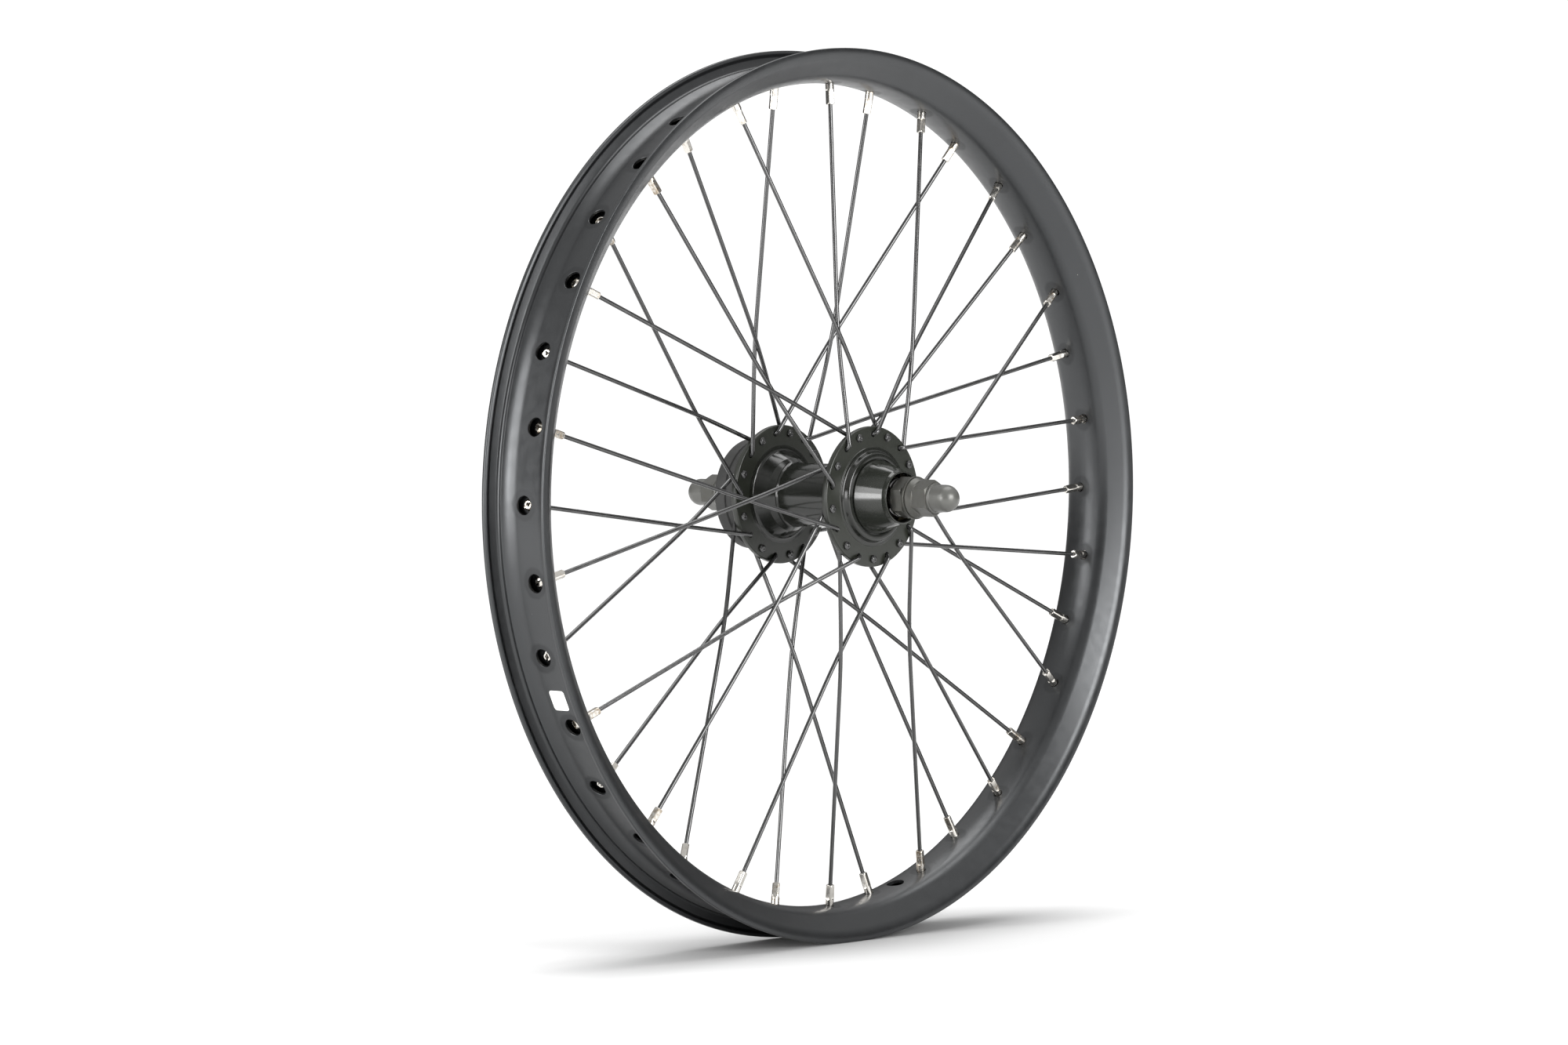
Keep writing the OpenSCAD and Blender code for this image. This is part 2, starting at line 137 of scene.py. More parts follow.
# ---------- outlines in the (r, y) half plane ----------
def arc(centre_r, centre_y, radius, start, end, steps):
    """Points of an arc; angles in degrees, from +r towards +y."""
    return [(centre_r + radius * math.cos(radians(start + (end - start) * i / steps)),
             centre_y + radius * math.sin(radians(start + (end - start) * i / steps)))
            for i in range(steps + 1)]


def rounded(corners, steps=5):
    """An outline through corners (r, y, radius), each turned with its own radius."""
    points = []
    for i, (r, y, radius) in enumerate(corners):
        here = Vector((r, y))
        if radius == 0:
            points.append((r, y))
            continue
        back = (Vector(corners[i - 1][:2]) - here).normalized()
        ahead = (Vector(corners[(i + 1) % len(corners)][:2]) - here).normalized()
        half = math.acos(max(-1, min(1, back.dot(ahead)))) / 2
        reach = radius / math.tan(half)
        centre = here + (back + ahead).normalized() * radius / math.sin(half)
        first = here + back * reach - centre
        last = here + ahead * reach - centre
        sweep = first.angle_signed(last)
        for step in range(steps + 1):
            turn = -sweep * step / steps
            points.append((centre.x + first.x * math.cos(turn) - first.y * math.sin(turn),
                           centre.y + first.x * math.sin(turn) + first.y * math.cos(turn)))
    return points


def mirrored(points):
    return [(r, -y) for r, y in reversed(points)]


def counter_clockwise(outline):
    area = sum(a[0] * b[1] - b[0] * a[1] for a, b in zip(outline, outline[1:] + outline[:1]))
    return outline if area > 0 else outline[::-1]


# ---------- meshes ----------
def mesh_from(name, points, faces):
    mesh = bpy.data.meshes.new(name)
    mesh.from_pydata([tuple(c * MM for c in p) for p in points], [], faces)
    mesh.validate()
    return mesh


def merge(name, *parts):
    """One mesh out of several (points, faces) pairs."""
    points, faces = [], []
    for part_points, part_faces in parts:
        faces += [tuple(i + len(points) for i in face) for face in part_faces]
        points += list(part_points)
    return mesh_from(name, points, faces)


def revolve(outline, segments=96, hollow=False):
    """Points and faces of an outline turned once about the axle, closed at the axle itself."""
    outline = counter_clockwise(list(outline))
    if hollow:
        outline = outline[::-1]
    points, rows = [], []
    for r, y in outline:
        if r < 1e-6:
            rows.append([len(points)] * segments)
            points.append((0, y, 0))
            continue
        rows.append(list(range(len(points), len(points) + segments)))
        for s in range(segments):
            a = 2 * math.pi * s / segments
            points.append((r * math.cos(a), y, r * math.sin(a)))
    faces = []
    for row, after in zip(rows, rows[1:] + rows[:1]):
        for s in range(segments):
            t = (s + 1) % segments
            corners = []
            for i in (row[s], after[s], after[t], row[t]):
                if i not in corners:
                    corners.append(i)
            if len(corners) > 2:
                faces.append(tuple(corners))
    return points, faces


def placed(part, matrix):
    """A (points, faces) pair moved by a matrix."""
    points, faces = part
    return [tuple(matrix @ Vector(p)) for p in points], faces


def aimed(at, direction):
    """A matrix that carries +Y to a direction, at a point."""
    return Matrix.Translation(at) @ Vector(direction).to_track_quat("Y", "Z").to_matrix().to_4x4()


def grid_tube(rings, caps=True):
    """Points and faces of a tube through rings of points, listed the right-handed way."""
    count = len(rings[0])
    points = [p for ring in rings for p in ring]
    faces = []
    for i in range(len(rings) - 1):
        for s in range(count):
            t = (s + 1) % count
            faces.append((i * count + s, i * count + t, (i + 1) * count + t, (i + 1) * count + s))
    if caps:
        faces.append(tuple(reversed(range(count))))
        faces.append(tuple(range((len(rings) - 1) * count, len(rings) * count)))
    return points, faces


def combine(operation, mesh, tool):
    """A mesh cut by, joined to or kept inside another."""
    holders = [bpy.data.objects.new("holder", m) for m in (mesh, tool)]
    for holder in holders:
        bpy.context.scene.collection.objects.link(holder)
    modifier = holders[0].modifiers.new("combine", "BOOLEAN")
    modifier.operation = operation
    modifier.solver = "MANIFOLD"
    modifier.object = holders[1]
    done = bpy.data.meshes.new_from_object(
        holders[0].evaluated_get(bpy.context.evaluated_depsgraph_get()))
    for holder in holders:
        bpy.data.objects.remove(holder)
    done.name = mesh.name
    return done


def smooth(mesh, sharp=28):
    mesh.shade_smooth()
    mesh.set_sharp_from_angle(angle=radians(sharp))
    return mesh


def shade_as_turned(mesh, outlines, sharp=25, near=0.12):
    """Normals worked out from the outlines, so that holes leave no dents in the reflections."""
    smooth(mesh)
    batch, same_lean, wrong_way = 4000, 0.97, 10
    starts, sides, first, last, flats = [], [], [], [], []
    for outline in outlines:
        points = np.array(outline)
        side = np.roll(points, -1, 0) - points
        flat = np.stack([side[:, 1], -side[:, 0]], 1) / np.linalg.norm(side, axis=1)[:, None]
        before = np.roll(flat, 1, 0)
        shared = flat + before
        shared /= np.linalg.norm(shared, axis=1)[:, None]
        soft = ((flat * before).sum(1) > math.cos(radians(sharp)))[:, None]
        starts.append(points)
        sides.append(side)
        first.append(np.where(soft, shared, flat))
        last.append(np.where(np.roll(soft, -1, 0), np.roll(shared, -1, 0), flat))
        flats.append(flat)
    starts, sides, first, last, flats = map(np.concatenate, (starts, sides, first, last, flats))
    length2 = (sides ** 2).sum(1)

    # each face belongs to the nearest side of the outlines that leans as it does
    count = len(mesh.polygons)
    centre = np.empty(count * 3)
    normal = np.empty(count * 3)
    mesh.polygons.foreach_get("center", centre)
    mesh.polygons.foreach_get("normal", normal)
    centre = centre.reshape(-1, 3) / MM
    normal = normal.reshape(-1, 3)
    r = np.hypot(centre[:, 0], centre[:, 2])
    place = np.stack([r, centre[:, 1]], 1)
    lean = np.stack([(normal[:, 0] * centre[:, 0] + normal[:, 2] * centre[:, 2]) / r,
                     normal[:, 1]], 1)
    match = np.empty(count, int)
    gap = np.empty(count)
    for low in range(0, count, batch):
        part = slice(low, low + batch)
        offset = place[part, None] - starts[None]
        along = np.clip((offset * sides).sum(2) / length2, 0, 1)
        away = np.linalg.norm(offset - along[..., None] * sides, axis=2)
        away += wrong_way * ((lean[part] @ flats.T) < same_lean)
        match[part] = away.argmin(1)
        gap[part] = away.min(1)

    # its corners take their normals from that side, and faces of no side keep their own
    owner = np.repeat(np.arange(count), [len(p.vertices) for p in mesh.polygons])
    index = np.empty(len(mesh.loops), int)
    mesh.loops.foreach_get("vertex_index", index)
    spot = np.empty(len(mesh.vertices) * 3)
    mesh.vertices.foreach_get("co", spot)
    spot = spot.reshape(-1, 3)[index] / MM
    radius = np.hypot(spot[:, 0], spot[:, 2])
    row = match[owner]
    offset = np.stack([radius, spot[:, 1]], 1) - starts[row]
    along = np.clip((offset * sides[row]).sum(1) / length2[row], 0, 1)[:, None]
    flat = first[row] * (1 - along) + last[row] * along
    flat /= np.linalg.norm(flat, axis=1)[:, None]
    normals = np.stack([flat[:, 0] * spot[:, 0] / radius, flat[:, 1],
                        flat[:, 0] * spot[:, 2] / radius], 1)
    normals[gap[owner] > near] = 0
    mesh.normals_split_custom_set(normals.tolist())
    return mesh


# ---------- materials ----------
DULLED = (0.9, 0.8775, 0.84)            # what handling leaves of a plating's red, green and blue
# floor tones: painted shade near the wheel, whiter beside it and far off, evening out the lamps' light
FLOOR_NEAR, FLOOR_BESIDE, FLOOR_FAR = 0.6, 0.86, 0.97
# a painted contact shadow under the rim: how dark it is at its middle, and how it is turned
PAINTED_SHADOW_TONE = 0.55
PAINTED_SHADOW_TURN = -18


class Surface:
    """A procedural material, built node by node."""

    def __init__(self, name, **settings):
        self.material = bpy.data.materials.new(name)
        self.material.use_nodes = True
        self.tree = self.material.node_tree
        self.shader = self.tree.nodes["Principled BSDF"]
        self.place = self.add("ShaderNodeTexCoord").outputs["Object"]
        self.set(**settings)

    def set(self, **settings):
        for key, value in settings.items():
            self.feed(self.shader.inputs[key.replace("_", " ")], value)
        return self

    def feed(self, socket, value):
        if isinstance(value, bpy.types.NodeSocket):
            self.tree.links.new(value, socket)
        elif socket.type == "RGBA":
            socket.default_value = (*value, 1)
        else:
            socket.default_value = value

    def add(self, kind, inputs=None, **settings):
        node = self.tree.nodes.new(kind)
        for key, value in settings.items():
            setattr(node, key, value)
        for key, value in (inputs or {}).items():
            self.feed(node.inputs[key], value)
        return node

    def math(self, operation, *values):
        return self.add("ShaderNodeMath", dict(enumerate(values)), operation=operation).outputs[0]

    def length(self, vector):
        return self.add("ShaderNodeVectorMath", {0: vector}, operation="LENGTH").outputs["Value"]

    def noise(self, per_mm, detail=2.0, roughness=0.5, stretch=None, offset=(0, 0, 0)):
        vector = self.add("ShaderNodeMapping", {"Vector": self.place, "Location": offset,
                                                "Scale": stretch or (1, 1, 1)}).outputs[0]
        return self.add("ShaderNodeTexNoise", {"Vector": vector, "Scale": per_mm / MM,
                                               "Detail": detail, "Roughness": roughness}).outputs[0]

    def specks(self, every_mm, size_mm):
        """1 on small round specks scattered through space, 0 elsewhere."""
        cell = self.add("ShaderNodeTexVoronoi", {"Vector": self.place, "Scale": 1 / (every_mm * MM)})
        return self.ramp(cell.outputs["Distance"], size_mm / every_mm, 0.6 * size_mm / every_mm)

    def ramp(self, value, low, high, out_low=0.0, out_high=1.0):
        return self.add("ShaderNodeMapRange",
                        {"Value": value, "From Min": low, "From Max": high,
                         "To Min": out_low, "To Max": out_high},
                        interpolation_type="SMOOTHSTEP").outputs[0]

    def mix(self, factor, a, b):
        """A colour between two; a Mix node keeps its colour sockets at these places."""
        return self.add("ShaderNodeMix", {0: factor, 6: a, 7: b}, data_type="RGBA").outputs[2]

    def grey(self, value, tint=(1, 1, 1)):
        """A colour socket out of a number."""
        parts = {i: self.math("MULTIPLY", value, share) for i, share in enumerate(tint)}
        return self.add("ShaderNodeCombineColor", parts).outputs[0]

    def bump(self, height, depth_mm, strength=1.0):
        node = self.add("ShaderNodeBump", {"Height": height, "Distance": depth_mm * MM,
                                           "Strength": strength})
        return self.set(Normal=node.outputs[0])

    def coordinates(self):
        """Radius in mm, angle in degrees from 0 to 360, and y in mm, of a point on the wheel."""
        parts = self.add("ShaderNodeSeparateXYZ", {0: self.place}).outputs
        square = self.math("ADD", self.math("MULTIPLY", parts[0], parts[0]),
                           self.math("MULTIPLY", parts[2], parts[2]))
        radius = self.math("DIVIDE", self.math("SQRT", square), MM)
        angle = self.math("DEGREES", self.math("ARCTAN2", parts[2], parts[0]))
        angle = self.math("FLOORED_MODULO", angle, 360.0)
        return radius, angle, self.math("DIVIDE", parts[1], MM)

    def across_line(self, radius, angle, at, half_width):
        """1 on a fine line that runs across the rim at an angle, 0 elsewhere."""
        miss = self.math("ABSOLUTE", self.math("SUBTRACT", angle, at))
        miss = self.math("MULTIPLY", self.math("MULTIPLY", miss, radius), math.pi / 180)
        return self.ramp(miss, half_width, 0.4 * half_width)


def rim_surface():
    s = Surface("rim_anodised", IOR=1.55, Specular_Tint=(0.95, 0.975, 1.0))
    radius, angle, y = s.coordinates()
    # painted shade round each hole, a dark halo in place of the darker reflection of the metal dimpled
    # there; it also roughens the metal and dulls its gloss. Holes sit every ten degrees, in turn on one
    # side and the other of the middle
    near = s.math("ROUND", s.math("DIVIDE", angle, PITCH_A))
    parity = s.math("FLOORED_MODULO", near, 2.0)
    hole_y = s.math("MULTIPLY_ADD", parity, -2 * STAGGER, STAGGER)
    arc_miss = s.math("MULTIPLY", s.math("SUBTRACT", angle, s.math("MULTIPLY", near, PITCH_A)),
                      s.math("MULTIPLY", radius, math.pi / 180))
    y_miss = s.math("SUBTRACT", y, hole_y)
    miss = s.math("SQRT", s.math("ADD", s.math("MULTIPLY", arc_miss, arc_miss),
                                 s.math("MULTIPLY", y_miss, y_miss)))
    in_well = s.ramp(radius, BED_R - 3, BED_R - 1.5)
    size = s.math("MULTIPLY_ADD", in_well, 1.6, 5.6)
    blotch = s.noise(0.12, detail=2)
    painted_hole_shade = s.ramp(s.math("ADD", s.math("SUBTRACT", miss, size), s.math("MULTIPLY", blotch, 3.0)),
                   2.2, 0.6)
    grain = s.noise(9, detail=3, roughness=0.6)
    cloud = s.noise(0.035, detail=3)
    tone = s.ramp(cloud, 0.3, 0.7, 0.0075, 0.0095)
    tone = s.math("MULTIPLY", tone, s.ramp(grain, 0.3, 0.7, 0.86, 1.14))
    # painted shade: the metal darker round each hole
    tone = s.math("MULTIPLY", tone, s.math("MULTIPLY_ADD", painted_hole_shade, -0.3, 1.0))
    seam = s.across_line(radius, angle, SLEEVE_A, 0.12)
    scratch = s.across_line(radius, angle, SCRATCH_A, 0.1)
    line = s.math("MAXIMUM", seam, scratch)
    dusty = s.ramp(s.noise(0.02, detail=1, offset=(3, 1, 7)), 0.5, 0.62)
    dust = s.math("MULTIPLY", s.specks(9, 0.16), dusty)
    tone = s.math("MULTIPLY", tone, s.math("MULTIPLY_ADD", line, -0.5, 1.0))
    base = s.mix(dust, s.grey(tone, (0.96, 1.0, 1.05)), (0.62, 0.61, 0.57))
    rough = s.ramp(s.noise(0.2, detail=3), 0.3, 0.7, 0.29, 0.35)
    rough = s.math("MULTIPLY_ADD", painted_hole_shade, 0.1, rough)
    s.set(Base_Color=base, Roughness=rough,
          Specular_IOR_Level=s.math("MULTIPLY_ADD", painted_hole_shade, -0.12, 0.6))
    return s.bump(s.math("SUBTRACT", grain, s.math("MULTIPLY", line, 12.0)), depth_mm=0.003).material


def paint_surface(name, tone, gloss, satin=None):
    """Black paint with orange peel; satin gives the roughness of the flanges."""
    s = Surface(name, IOR=1.5, Specular_IOR_Level=0.5)
    radius = s.coordinates()[0]
    wear = s.noise(0.9, detail=4, roughness=0.6)
    rough = s.ramp(wear, 0.35, 0.7, gloss, gloss + 0.03)
    colour = s.mix(s.ramp(wear, 0.35, 0.7), (tone, tone * 1.1, tone * 0.9),
                   (tone * 1.15, tone * 1.25, tone * 1.02))
    if satin:
        on_flange = s.ramp(radius, STEP_R - 0.3, STEP_R + 0.5)
        rough = s.math("ADD", s.math("MULTIPLY", on_flange, satin),
                       s.math("MULTIPLY", s.math("SUBTRACT", 1.0, on_flange), rough))
        colour = s.mix(on_flange, colour, (tone * 1.5, tone * 1.68, tone * 1.25))
    dust = s.math("MULTIPLY", s.specks(3, 0.06), s.ramp(s.noise(0.08, offset=(2, 5, 1)), 0.5, 0.65))
    s.set(Base_Color=s.mix(dust, colour, (0.4, 0.4, 0.37)), Roughness=rough)
    return s.bump(s.noise(0.5, detail=2), 0.004, 0.5).material


def steel_surface(name, colour, rough, turning=0.0, grain=0.004, metallic=1.0, grain_mm=2.5,
                  dome=None):
    """Plated steel: tone and roughness wander, turned faces carry fine rings, and dome is
    the colour of what lies within a nut's dome."""
    s = Surface(name, Metallic=metallic)
    radius = s.coordinates()[0]
    patch = s.noise(0.35, detail=4, roughness=0.65)
    fine = s.noise(grain_mm, detail=3, roughness=0.6)
    dulled = tuple(c * k for c, k in zip(colour, DULLED))
    base = s.mix(s.ramp(patch, 0.35, 0.72), colour, dulled)
    if dome:
        base = s.mix(s.ramp(radius, DOME_R + 0.9, DOME_R + 0.65), base, dome)
    s.set(Base_Color=base,
          Roughness=s.math("ADD", s.ramp(patch, 0.3, 0.7, rough, rough + 0.06),
                           s.ramp(fine, 0.3, 0.7, -0.02, 0.04)))
    height = s.math("MULTIPLY", fine, grain)
    if turning:
        rings = s.add("ShaderNodeTexNoise", {"W": s.math("MULTIPLY", radius, 9.0), "Scale": 1.0,
                                             "Detail": 2.0}, noise_dimensions="1D").outputs[0]
        height = s.math("ADD", height, s.math("MULTIPLY", rings, turning))
    return s.bump(height, 1.0).material


def spoke_surface():
    s = Surface("spoke_black_oxide", Metallic=0.1, IOR=1.85)
    streak = s.noise(1.2, detail=3, stretch=(0.15, 0.6, 0.15))
    rub = s.ramp(s.noise(0.09, detail=4, roughness=0.7, offset=(4, 2, 9)), 0.6, 0.75)
    s.set(Base_Color=s.mix(rub, s.grey(s.ramp(streak, 0.3, 0.7, 0.011, 0.02)), (0.04, 0.04, 0.038)),
          Roughness=s.ramp(streak, 0.3, 0.7, 0.13, 0.19))
    return s.bump(s.noise(3, detail=2), 0.003).material


def nipple_surface():
    s = Surface("nipple_nickel", Metallic=1.0)
    object_random = s.add("ShaderNodeObjectInfo").outputs["Random"]
    patch = s.math("ADD", s.noise(0.5, detail=4, roughness=0.65),
                   s.math("MULTIPLY_ADD", object_random, 0.3, -0.15))
    colour = s.mix(s.ramp(patch, 0.48, 0.78), (0.68, 0.655, 0.61), (0.34, 0.28, 0.21))
    s.set(Base_Color=colour, Roughness=s.ramp(patch, 0.35, 0.7, 0.13, 0.3))
    return s.bump(s.noise(2.2, detail=3), 0.005).material


def plastic_surface(name, tone, rough, grain_depth):
    s = Surface(name, IOR=1.46, Specular_IOR_Level=0.4)
    cloud = s.noise(0.15, detail=3)
    fine = s.noise(4, detail=3, roughness=0.6)
    s.set(Base_Color=s.mix(s.ramp(cloud, 0.3, 0.7), (tone, tone, tone * 0.98),
                           (tone * 1.3, tone * 1.3, tone * 1.26)),
          Roughness=s.ramp(fine, 0.3, 0.7, rough - 0.05, rough + 0.05))
    return s.bump(fine, grain_depth).material


def label_surface():
    s = Surface("label_paper", IOR=1.45)
    fibre = s.noise(1.5, detail=4, roughness=0.6)
    s.set(Base_Color=s.mix(s.ramp(fibre, 0.3, 0.7), (0.86, 0.86, 0.84), (0.93, 0.93, 0.91)),
          Roughness=s.ramp(fibre, 0.3, 0.7, 0.32, 0.42))
    return s.bump(fibre, 0.01).material


def floor_surface():
    """White paper with painted shade: greyer near the wheel, against the lamps' brighter light there, so
    that its contact shadow reads, and whiter far off where the lamps fall off.
    """
    s = Surface("floor_white", Roughness=0.85, Specular_IOR_Level=0.1)
    away = s.length(s.place)
    # painted shade near the wheel and painted brightening far off, evening out the lamps
    tone = s.math("ADD", s.ramp(away, 0.12, 0.42, FLOOR_NEAR, FLOOR_BESIDE),
                  s.ramp(away, 0.8, 2.5, 0.0, FLOOR_FAR - FLOOR_BESIDE))
    tone = s.math("MULTIPLY", tone, s.ramp(s.noise(0.002, detail=2), 0.3, 0.7, 0.99, 1.0))
    # a long soft painted shadow below the rim, along the wheel's plane
    painted_shadow = s.add("ShaderNodeMapping", {"Vector": s.place, "Location": (0.03, 0.04, 0),
                                         "Rotation": (0, 0, radians(PAINTED_SHADOW_TURN)),
                                         "Scale": (4.2, 13, 0)}).outputs[0]
    tone = s.math("MULTIPLY", tone, s.ramp(s.length(painted_shadow), 0.0, 1.0, PAINTED_SHADOW_TONE, 1.0))
    return s.set(Base_Color=s.grey(tone)).material


MATERIALS = {
    "rim": rim_surface(),
    "hub": paint_surface("hub_black", tone=0.009, gloss=0.13, satin=0.3),
    "dust_cap": paint_surface("cap_black", tone=0.014, gloss=0.1),
    "spoke": spoke_surface(),
    "nipple": nipple_surface(),
    "protector": plastic_surface("protector_black", tone=0.02, rough=0.6, grain_depth=0.012),
    "label": label_surface(),
    "locknut": steel_surface("locknut_zinc", (0.08, 0.08, 0.073), rough=0.28, grain=0.0015,
                             metallic=0.6),
    "nut_washer": steel_surface("washer_dark", (0.055, 0.055, 0.049), rough=0.3, turning=0.004,
                                metallic=0.6),
    "axle_nut": steel_surface("nut_satin_grey", (0.064, 0.064, 0.058), rough=0.3, grain=0.007,
                              metallic=0.35, grain_mm=3.0, dome=(0.1, 0.1, 0.093)),
    "axle_steel": steel_surface("axle_zinc", (0.36, 0.36, 0.35), rough=0.27),
    # the races and the cage are darker than their bare metal: painted shade, for the dark mouth of the hub
    # where they show
    "race_steel": steel_surface("race_ground", (0.2, 0.2, 0.2), rough=0.22, turning=0.002),
    "ball": steel_surface("ball_polished", (0.75, 0.76, 0.78), rough=0.05, grain=0.001),
    "cage": steel_surface("cage_passivated", (0.16, 0.14, 0.09), rough=0.35),
    "sleeve": steel_surface("sleeve_bare", (0.66, 0.67, 0.68), rough=0.33),
}


def add_piece(name, mesh, body, node, slot, matrix=None, bevel=None):
    piece = bpy.data.objects.new(name, mesh)
    bpy.context.scene.collection.objects.link(piece)
    mesh.materials.clear()
    mesh.materials.append(MATERIALS[slot])
    if matrix is not None:
        matrix = matrix.copy()
        matrix.translation = matrix.translation * MM
        piece.matrix_world = matrix
    if bevel:
        modifier = piece.modifiers.new("worn_edges", "BEVEL")
        modifier.width = bevel * MM
        modifier.segments = 3
        modifier.limit_method = "ANGLE"
        modifier.angle_limit = radians(32)
        modifier.harden_normals = True
    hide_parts(node)
    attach(piece, body)
    return piece


# ---------- rim ----------
def crown_half(inset, steps_crown, steps_shoulder):
    """The wall that faces the hub, from its middle to its flank, moved in by an inset."""
    crown_y = CROWN_R * math.sin(radians(CROWN_A))
    crown_top = NOSE_R + CROWN_R * (1 - math.cos(radians(CROWN_A)))
    centre_r = crown_top + SHOULDER_R * math.cos(radians(CROWN_A))
    centre_y = crown_y - SHOULDER_R * math.sin(radians(CROWN_A))
    return (arc(NOSE_R + CROWN_R, 0, CROWN_R - inset, 180, 180 - CROWN_A, steps_crown)[1:-1]
            + arc(centre_r, centre_y, SHOULDER_R - inset, 180 - CROWN_A, 180 - SHOULDER_A,
                  steps_shoulder))


def rim_outline():
    crown = crown_half(0, 8, 14)
    flank_r, flank_y = crown[-1]
    bend_y = RIM_HALF - SIDE_R * (1 - math.sin(radians(SHOULDER_A)))
    bend_r = flank_r + (bend_y - flank_y) * math.tan(radians(SHOULDER_A))
    side_r = bend_r + SIDE_R * math.cos(radians(SHOULDER_A))
    side = arc(side_r, RIM_HALF - SIDE_R, SIDE_R, 180 - SHOULDER_A, 90, 12)
    lip = rounded([(side_r + 0.1, RIM_HALF, 0), (RIM_R, RIM_HALF, 0.5), (RIM_R, RIM_HALF - 1.7, 0.7),
                   (RIM_R - 1.5, RIM_HALF - 2.3, 0.7), (RIM_R - 2.9, RIM_HALF - 1.6, 0.8),
                   (SEAT_R + 0.05, RIM_HALF - 3.2, 1.7), (SEAT_R, SEAT_HALF, 0.32),
                   (SEAT_R - 0.42, SEAT_HALF - 0.6, 0)])[1:-1]
    # the well is one wide hollow curve, from the bead seat to the flat middle
    rise, run = SEAT_R - BED_R, SEAT_HALF - WELL_HALF
    well_r = (rise ** 2 + run ** 2) / (2 * rise)
    end = math.degrees(math.asin(run / well_r))
    well = arc(BED_R + well_r, WELL_HALF, well_r, 180 - end + 3, 180, 12)
    half = crown + side + lip + well
    return counter_clockwise(half + mirrored(half))


def rim_hollow():
    half = crown_half(WALL, 3, 6) + [(BED_R - 0.3, 11.9), (BED_R - BED_T, WELL_HALF + 2)]
    return counter_clockwise(half + mirrored(half))[::-1]


def drill(radius, start, end, chamfer_at=None, chamfer=0.22, segments=48):
    """A round cutter along +Y, flared where it leaves the metal at chamfer_at."""
    outline = [(0, start), (radius, start)]
    if chamfer_at is not None:
        outline += [(radius, chamfer_at - chamfer), (radius + 2 * chamfer, chamfer_at + chamfer)]
        outline += [(radius + 2 * chamfer, end)]
    else:
        outline += [(radius, end)]
    return revolve(outline + [(0, end)], segments)


def side_of(k):
    return 1 if k % 2 == 0 else -1


def seat_at(k):
    return polar(SEAT_NIPPLE, PITCH_A * k, side_of(k) * STAGGER)


def build_rim():
    outline = rim_outline()
    hollow = rim_hollow()
    shell = merge("rim", revolve(outline, 360), revolve(hollow, 360, hollow=True))
    cutters = []
    for k in range(SPOKES):
        outward = polar(1, PITCH_A * k)
        access = aimed(polar(BED_R, PITCH_A * k, side_of(k) * STAGGER), outward)
        cutters.append(placed(drill(ACCESS_R, -BED_T - 0.4, 4, chamfer_at=0.0), access))
        nipple = aimed(seat_at(k), -outer_dir(k))
        cutters.append(placed(drill(NIPPLE_R + 0.2, -0.6, 5, chamfer_at=WALL + 0.12, chamfer=0.16,
                                    segments=40), nipple))
    outward = polar(1, VALVE_A)
    cutters.append(placed(drill(VALVE_R, 0, 12), aimed(polar(NOSE_R + 3, VALVE_A), outward)))
    cutters.append(placed(drill(VALVE_R, -3.2, 3, chamfer_at=1.6, chamfer=0.16),
                          aimed(polar(NOSE_R + 1.6, VALVE_A), -outward)))
    mesh = combine("DIFFERENCE", shell, merge("drills", *cutters))
    shade_as_turned(mesh, [outline])
    add_piece("rim_extrusion", mesh, "wheel", "rim", "rim")


# ---------- lacing ----------
def elbow_out(k):
    return k % 4 < 2


def lead_of(k):
    return 1 if k % 4 in (1, 2) else -1


def flange_y(k):
    return FLANGE_RIGHT if side_of(k) > 0 else -FLANGE_LEFT


def exit_y(k):
    return side_of(k) * (1 if elbow_out(k) else -1)


def hub_angle(k):
    return PITCH_A * k + lead_of(k) * CROSS_A


def elbow_at(k):
    rise = RISE_OUT if elbow_out(k) else RISE_IN
    return polar(HOLE_RING, hub_angle(k), flange_y(k) + exit_y(k) * (FLANGE_T / 2 + rise))


# a spoke passes the last one it crosses at the share PASS_T of its way from elbow to nipple
PITCH_TAN = math.tan(radians(PITCH_A))
PASS_Q = (HOLE_RING * (math.sin(radians(CROSS_A)) - PITCH_TAN * math.cos(radians(CROSS_A)))
          / (SEAT_NIPPLE * PITCH_TAN))
PASS_T = PASS_Q / (1 + PASS_Q)


def pass_at(k):
    point = elbow_at(k).lerp(seat_at(k), PASS_T)
    point.y = (flange_y(k) + (side_of(k) * STAGGER - flange_y(k)) * PASS_T - exit_y(k) * WEAVE)
    return point


def outer_dir(k):
    return (seat_at(k) - pass_at(k)).normalized()


def bent_path(corners, radii, steps):
    """A path through corners, each rounded with its own bend radius."""
    path = [corners[0]]
    for before, here, after, radius in zip(corners, corners[1:], corners[2:], radii):
        back, ahead = (before - here).normalized(), (after - here).normalized()
        half = math.acos(max(-1, min(1, back.dot(ahead)))) / 2
        centre = here + (back + ahead).normalized() * radius / math.sin(half)
        start = here + back * radius / math.tan(half) - centre
        end = here + ahead * radius / math.tan(half) - centre
        for i in range(steps + 1):
            path.append(centre + start.lerp(end, i / steps).normalized() * radius)
    return path + [corners[-1]]


def swept(path, radius, sides=16):
    rings = []
    across = None
    for i, point in enumerate(path):
        along = (path[min(i + 1, len(path) - 1)] - path[max(i - 1, 0)]).normalized()
        if across is None:
            across = along.orthogonal()
        across = (across - along * across.dot(along)).normalized()
        third = along.cross(across)
        rings.append([tuple(point + (across * math.cos(a) + third * math.sin(a)) * radius)
                      for a in (2 * math.pi * s / sides for s in range(sides))])
    return grid_tube(rings)


